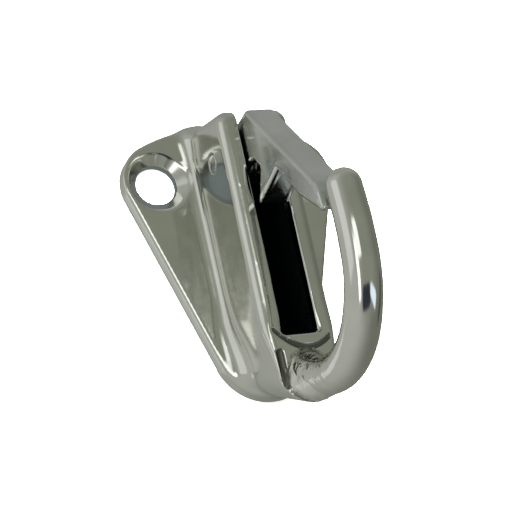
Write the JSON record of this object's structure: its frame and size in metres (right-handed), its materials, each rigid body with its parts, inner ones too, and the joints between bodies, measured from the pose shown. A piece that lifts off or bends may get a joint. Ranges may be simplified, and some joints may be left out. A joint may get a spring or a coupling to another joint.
{
  "type": "fender hook on base plate",
  "caption": "Polished stainless fender hook on a screw-down base plate, its mouth closed by a spring-loaded gate that swings inwards.",
  "frame": {"origin": "centre of the bounding box in plan, at the plate's back face", "axes": "+Z out of the mounting surface, +Y along the plate towards the gate's hinge, +X across the plate through the hinge pin"},
  "size_m": [0.0368, 0.0562, 0.0467],
  "materials": {
    "polished_casting": "mirror-polished stainless casting",
    "polished_rod": "mirror-polished stainless rod",
    "weld_bead": "polished-over weld",
    "gate_sheet": "polished stainless sheet",
    "pin_steel": "flush-ground pin",
    "spring_wire": "drawn stainless wire"
  },
  "bodies": {
    "base": {"base_plate": "polished_casting", "hook": "polished_rod", "root_weld": "weld_bead", "pivot_pin": "pin_steel", "torsion_spring": "spring_wire"},
    "gate_body": {"gate": "gate_sheet"}
  },
  "joints": [
    {"name": "gate_hinge", "type": "hinge", "parent": "base", "child": "gate_body", "pos_m": [0, 0.0172, 0.0114], "axis": [1, 0, 0], "range_deg": [0, 40], "stiffness_Nm_per_rad": 0.08, "springref_deg": -25.78, "deforming": ["torsion_spring"]}
  ]
}
